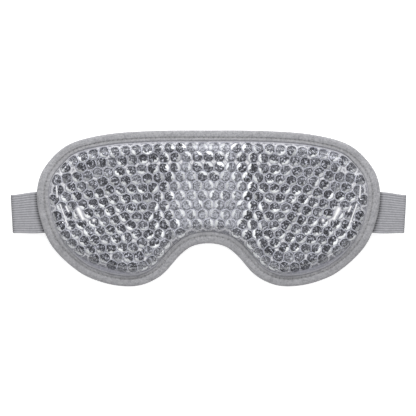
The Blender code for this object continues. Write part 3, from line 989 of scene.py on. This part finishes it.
def tape_extra():
    """The tape laps further over the film at the mask's sides and over the nose."""
    x, y = np.abs(EDGE[:, 0]), EDGE[:, 1]
    side = smoothstep((x - SIDE_LAP_FROM) / LAP_RAMP)
    nose = smoothstep((NOSE_LAP_TO - x) / LAP_RAMP) * (y < 0)
    return SIDE_LAP * side + NOSE_LAP * nose


def tape_section():
    """Points (inset, height, how near the seam, whether on the top leg) round the tape's section."""
    w, h, t = TAPE_WIDTH, TAPE_HEIGHT, TAPE_THICKNESS
    points = []
    for inset in np.linspace(w, TAPE_ROUND, 18):
        points.append((inset, 0.0, seam_share(inset), 0))
    for angle in np.linspace(-pi / 2, pi / 2, 12)[1:-1]:
        points.append((TAPE_ROUND * (1 - cos(angle)), h / 2 * (1 + sin(angle)), 0.0, 0))
    for inset in np.linspace(TAPE_ROUND, w, 22):
        swell = TAPE_SWELL * sin(pi * min(1.0, max(0.0, (inset - TAPE_ROUND) / (3.0 * MM))))
        points.append((inset, h + swell, seam_share(inset), 1))
    points.append((w + 0.15 * MM, h - 0.3 * t, 0.0, 1))
    for inset in np.linspace(w, 1.2 * MM, 10):
        points.append((inset, h - t, seam_share(inset) * 0.3, 1))
    for inset in np.linspace(1.2 * MM, w, 10):
        points.append((inset, t, seam_share(inset) * 0.3, 0))
    return points


def seam_share(inset):
    return float(np.exp(-((inset - SEAM_INSET) / SEAM_SPREAD) ** 2))


def needle_points(phase, width):
    """1 at each whole number of stitches, falling to 0 between."""
    return np.exp(-((phase - np.round(phase)) / width) ** 2)


def make_threads(mats):
    """Stitches that dip into the tape at each needle point, on the front and on the back."""
    base = edge_base()
    dip = needle_points(PHASE, THREAD_NEEDLE)
    path = ring(SEAM_INSET)
    front = base + TAPE_HEIGHT - SEAM_PULL + THREAD_RADIUS * 0.5 - NEEDLE_DIP * dip
    back = base + SEAM_PULL - THREAD_RADIUS * 0.5 + BOBBIN_DIP * dip
    rows = (("binding_needle_thread", front), ("binding_bobbin_thread", back))
    return [thread_row(name, np.column_stack([path, z]), mats, "mask", sides=8) for name, z in rows]


def thread_row(name, points, mats, body, sides=6, closed=True):
    """One row of stitches as a tube that stands for the CAD node of that name."""
    verts, faces = tube(points, THREAD_RADIUS, sides, closed)
    return new_object(name + "_row", verts, faces, mats["thread"], body, nodes=(name,), slot="thread")


# ---- straps

class Strap:
    """One side's strap: distances are along it from the hinge line and across it."""

    def __init__(self, side, run_z):
        self.side, self.run_z = side, run_z
        self.radius = (STUB_Z - run_z) / 2
        self.hinge_z = (STUB_Z + run_z + STRAP_THICKNESS) / 2
        self.reach = self.radius + STRAP_THICKNESS / 2
        self.inward = np.array([-side * cos(STRAP_LEAN), sin(STRAP_LEAN)])
        self.across = np.array([side * sin(STRAP_LEAN), cos(STRAP_LEAN)])
        self.pivot = np.array([side * FOLD_EDGE_X, FOLD_EDGE_Y]) + self.inward * self.reach
        self.run_length = (FOLD_EDGE_X - STRAP_TIP) / cos(STRAP_LEAN) - self.reach
        self.name = "left" if side < 0 else "right"
        self.body = self.name + "_strap"

    def place(self, along, across, z):
        flat = (self.pivot + np.multiply.outer(np.asarray(along), self.inward)
                + np.multiply.outer(np.asarray(across), self.across))
        return np.concatenate([flat, np.asarray(z)[..., None]], axis=-1)

    def centre_line(self):
        """Rows (along, z, and the normal's two parts) from the anchor to the tip, and the distance run."""
        mid = STRAP_THICKNESS / 2
        anchor_end = ANCHOR_END - self.reach
        stub = [(s, STUB_Z + mid, 0.0, 1.0) for s in np.linspace(anchor_end, 0.0, STUB_STEPS + 1)[:-1]]
        fold = [(-self.radius * sin(a), self.hinge_z + self.radius * cos(a), -sin(a), cos(a))
                for a in np.linspace(0.0, pi, FOLD_STEPS)]
        run = [(s, self.run_z + mid, 0.0, -1.0) for s in np.linspace(0.0, self.run_length, RUN_STEPS)[1:]]
        line = np.array(stub + fold + run)
        length = np.concatenate([[0.0], np.cumsum(np.linalg.norm(np.diff(line[:, :2], axis=0), axis=1))])
        return line, length


def make_ribbon(strap, mats):
    """The whole elastic strap as one ribbon: sewn-in end, fold and folded-back run."""
    line, length = strap.centre_line()
    across = np.linspace(-0.5, 0.5, POINTS_PER_RIB * RIBS + 1)
    rib = 0.5 + 0.5 * np.cos(2 * pi * across * RIBS)
    past = np.clip(np.abs(across) - 0.5 + EDGE_SHARE, 0, None) / EDGE_SHARE
    round_edge = np.sqrt(np.clip(1 - past**2, 0, 1))
    half = (STRAP_THICKNESS / 2 - RIB_DEPTH * (1 - rib)) * np.maximum(round_edge, THIN_EDGE)
    face = np.column_stack([across * STRAP_WIDTH, half, rib])
    section = np.vstack([face, (face * [1, -1, 1])[::-1]])
    count = len(section)
    rows = []
    total, fold_at = length[-1], length[STUB_STEPS]
    for (s, z, out, up), run in zip(line, length):
        on_stub = run < fold_at
        squeeze = FREE_WIDTH
        if on_stub:
            squeeze += SEWN_SPREAD * float(smoothstep(s / SPREAD_LENGTH))
        at_tip = smoothstep((total - run) / TIP_LENGTH)
        thick = section[:, 1] * (TIP_THICKNESS + (1 - TIP_THICKNESS) * at_tip)
        corner = tip_width(total - run)
        place = strap.place(s + out * thick, section[:, 0] * squeeze * corner, z + up * thick)
        pick = np.full(count, 0.5 + 0.5 * cos(run / PICK * 2 * pi))
        rows.append((place, section[:, 2], pick, strap_shade(place, on_stub, run - fold_at)))
    verts, ribs, picks, shades = map(np.concatenate, zip(*rows))
    faces = sleeve(len(line), count)
    if strap.side > 0:
        faces = turned(faces)
    nodes = [f"{strap.name}_strap_{part}" for part in ("anchor", "fold", "run")]
    ribbon = new_object(strap.name + "_elastic_strap", verts, faces, mats["elastic"], None, nodes=nodes,
                        slot="elastic")
    set_attributes(ribbon, rib=ribs, pick=picks, shade=shades)
    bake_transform(ribbon)


def strap_shade(place, on_stub, from_fold):
    """Shade on the upper face where the webbing goes under the mask, and in the grooves at the fold."""
    at_fold = 0.6 * np.exp(-((from_fold - FOLD_SHADE_AT) / FOLD_SHADE_SPREAD) ** 2)
    if not on_stub:
        return np.full(len(place), at_fold)
    _, gap = nearest_edge(place[:, :2])
    upper = place[:, 2] > STUB_Z + STRAP_THICKNESS / 2
    tuck = np.clip(1.0 - gap / TUCK_SHADE, 0.0, 1.0) ** 1.2 * upper
    return np.maximum(tuck * 0.8, at_fold)


def tip_width(left):
    """Share of the full width near the tip, for rounded corners."""
    if left >= CORNER_RADIUS:
        return 1.0
    cut = CORNER_RADIUS - (CORNER_RADIUS**2 - (CORNER_RADIUS - left) ** 2) ** 0.5
    return 1.0 - 2 * cut / STRAP_WIDTH


def pad_outline(strap, start, end, inset=0.0):
    """A pad's rounded outline, as points in the plane; its sides bow out a little."""
    half, near, far = PAD_WIDTH / 2 - inset, start + inset, end - inset
    points = []
    for quarter, (s, a) in enumerate([(far, half), (near, half), (near, -half), (far, -half)]):
        cs, ca = s - np.sign(s - (start + end) / 2) * PAD_CORNER, a - np.sign(a) * PAD_CORNER
        for angle in np.linspace(0.0, pi / 2, 5) + quarter * pi / 2:
            points.append((cs + PAD_CORNER * cos(angle), ca + PAD_CORNER * sin(angle)))
    points = np.array(points)
    dense = []
    for p, q in zip(points, np.roll(points, -1, axis=0)):
        length = float(np.linalg.norm(q - p))
        outward = np.array([q[1] - p[1], p[0] - q[0]]) / length
        steps = max(1, round(length / PAD_SPACING))
        for t in np.arange(steps) / steps:
            dense.append(p + (q - p) * t + outward * PAD_BOW * 4 * t * (1 - t))
    dense = np.array(dense)
    return strap.place(dense[:, 0], dense[:, 1], np.zeros(len(dense)))[:, :2]


def pad_place(strap, length):
    """Where a pad starts and ends along its strap, and its outline."""
    end = strap.run_length - PAD_MARGIN
    start = end - length
    return start, end, pad_outline(strap, start, end)


def make_hook_pad(strap, mats):
    """Base tape covered in small moulded hooks, leaving a bare margin for the stitching."""
    start, end, outline = pad_place(strap, HOOK_LENGTH)
    xy, faces = patch(outline, HOOK_TAPE_SPACING)
    base = strap.run_z + STRAP_THICKNESS
    low, high = np.full(len(xy), base + PAD_GAP), np.full(len(xy), base + HOOK_TAPE_TOP)
    tape = shell("hook_pad_tape", xy, faces, len(outline), low, high, mats["hook"], strap.body, slot="hook",
                 smooth=False)
    parts = []
    half = PAD_WIDTH / 2
    for row, s in enumerate(np.arange(start + HOOK_BARE_START, end - HOOK_BARE_END, HOOK_STEP_ALONG)):
        for a in np.arange(-half + HOOK_BARE_START, half - HOOK_BARE_END, HOOK_STEP_ACROSS):
            parts.append(hook(strap, s, a, base + 0.5 * MM, 1 if row % 2 else -1))
    verts, faces = joined(parts)
    new_object("hook_pad_hooks", verts, faces, mats["hook"], strap.body, nodes=("hook_pad",), slot="hook")
    stitch_box(strap, "hook_pad_stitching", start, end, base + 0.62 * MM, mats)


def hook(strap, s, a, z, way):
    """One hook: a flat stem that bends over."""
    verts = []
    for forward, up, half in HOOK_LINE:
        for lean, da in ((-half, -1), (-half, 1), (half, 1), (half, -1)):
            verts.append(strap.place(s + way * (forward + lean) * MM, a + da * HOOK_HALF_WIDTH, z + up * MM))
    faces = sleeve(len(HOOK_LINE), 4)
    return verts, turned(faces) if way > 0 else faces


def make_loop_pad(strap, mats):
    """A base tape with a brushed, uneven face of loops on its underside."""
    start, end, outline = pad_place(strap, LOOP_LENGTH)
    xy, faces = patch(outline, LOOP_SPACING)
    _, rim = nearest(xy, outline)
    fuzz = RNG.random(len(xy)) * LOOP_FUZZ + LOOP_EDGE_DROP * (1.0 - smoothstep(rim / (1.3 * MM)))
    low = PAD_GAP + fuzz
    high = np.full(len(xy), strap.run_z - 0.03 * MM)
    pile = shell("loop_pad_pile", xy, faces, len(outline), low, high, mats["loop"], strap.body,
                 nodes=("loop_pad",), slot="loop")
    stitch_box(strap, "loop_pad_stitching", start, end, strap.run_z + STRAP_THICKNESS + 0.1 * MM, mats)


def stitch_box(strap, name, start, end, z, mats):
    """A rectangle of lockstitch just inside a pad's edge."""
    outline = pad_outline(strap, start, end, inset=PAD_SEAM)
    fine, length = evenly_spaced(outline, BOX_POINTS)
    phase = np.arange(BOX_POINTS) / BOX_POINTS * round(length / BOX_STITCH)
    lift = BOX_LIFT - BOX_DIP * needle_points(phase, BOX_NEEDLE)
    thread_row(name, np.column_stack([fine, z + lift]), mats, strap.body)


def make_anchor_stitching(strap, mats):
    """The zigzag row that holds the strap's sewn-in end."""
    points = []
    for turn in range(ZIGZAG_TURNS * ZIGZAG_STEPS + 1):
        t = turn / ZIGZAG_STEPS
        swing = abs((t % 2) - 1)
        across = ZIGZAG_WIDTH * (t / ZIGZAG_TURNS - 0.5)
        points.append(strap.place(ZIGZAG_START + ZIGZAG_DEPTH * (1 - swing), across, STUB_Z - ZIGZAG_SINK))
    thread_row(strap.name + "_anchor_stitching", points, mats, "mask", closed=False)


# ---- camera, light and floor

def make_camera():
    data = bpy.data.cameras.new("camera")
    camera = in_scene("camera", data)
    data.sensor_width = SENSOR_MM
    data.lens = SENSOR_MM * (CAMERA_HEIGHT - POUCH_TOP / 2) / VIEW_WIDTH
    data.clip_start = 0.01
    camera.location = (*CAMERA_XY, CAMERA_HEIGHT)
    bpy.context.scene.camera = camera


def area_light(name, place, size, power, glossy):
    data = bpy.data.lights.new(name, "AREA")
    data.shape = "RECTANGLE"
    data.size, data.size_y = size
    data.energy = power
    light = in_scene(name, data)
    light.location = place
    light.rotation_euler = (-Vector(place)).to_track_quat("-Z", "Y").to_euler()
    light.visible_glossy = glossy


def make_stage():
    bpy.ops.mesh.primitive_plane_add(size=FLOOR_SIZE, location=(0.0, 0.0, -FLOOR_GAP))
    floor = bpy.context.object
    floor.name = "floor"
    look = Look("floor_white")
    look.set(Base_Color=(0.93, 0.93, 0.93), Roughness=0.9)
    look.set(Emission_Color=(1.0, 1.0, 1.0), Emission_Strength=FLOOR_GLOW)
    floor.data.materials.append(look.mat)
    for light in LIGHTS:
        area_light(*light)
    world = bpy.data.worlds.new("studio")
    bpy.context.scene.world = world
    world.use_nodes = True
    background = world.node_tree.nodes["Background"]
    background.inputs["Color"].default_value = (1.0, 1.0, 1.0, 1.0)
    background.inputs["Strength"].default_value = SKY_STRENGTH


def set_render_look():
    scene = bpy.context.scene
    scene.view_settings.view_transform = "Standard"
    scene.view_settings.look = "None"
    scene.cycles.use_denoising = True
    scene.cycles.max_bounces = scene.cycles.transparent_max_bounces = 16


def build():
    make_camera()
    make_stage()
    set_render_look()
    mats = make_materials()
    beads = bead_places()
    make_beads(beads, mats)
    make_pouch(beads, mats)
    make_tape(mats)
    left, right = Strap(-1, LEFT_RUN_Z), Strap(1, RIGHT_RUN_Z)
    for strap in (left, right):
        make_ribbon(strap, mats)
        make_anchor_stitching(strap, mats)
    make_hook_pad(left, mats)
    make_loop_pad(right, mats)


build()
